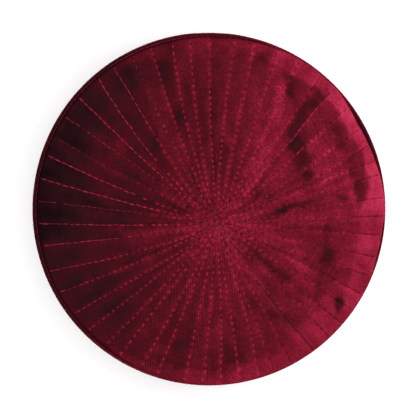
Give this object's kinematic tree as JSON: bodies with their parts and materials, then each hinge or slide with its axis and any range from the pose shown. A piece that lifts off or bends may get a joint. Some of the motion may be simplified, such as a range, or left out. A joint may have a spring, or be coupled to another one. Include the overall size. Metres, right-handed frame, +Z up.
{
  "type": "kufi cap",
  "caption": "Round flat-topped cap in burgundy velvet, its crown quilted by rows of stitching that fan out from one point, over an upright side band with a folded hem.",
  "frame": {"origin": "centre of the hem, on the surface that the cap rests on", "axes": "+Z up, from the hem to the crown; +Y towards the back of the cap, +X to its wearer's right"},
  "size_m": [0.191, 0.191, 0.0878],
  "materials": {
    "crown_velvet": "crushed burgundy velvet, quilted",
    "welt_velvet": "burgundy velvet, rolled over the seam",
    "band_velvet": "burgundy velvet over a cotton backing"
  },
  "bodies": {
    "root": {"crown": "crown_velvet", "edge_welt": "welt_velvet", "side_band": "band_velvet"}
  },
  "joints": []
}
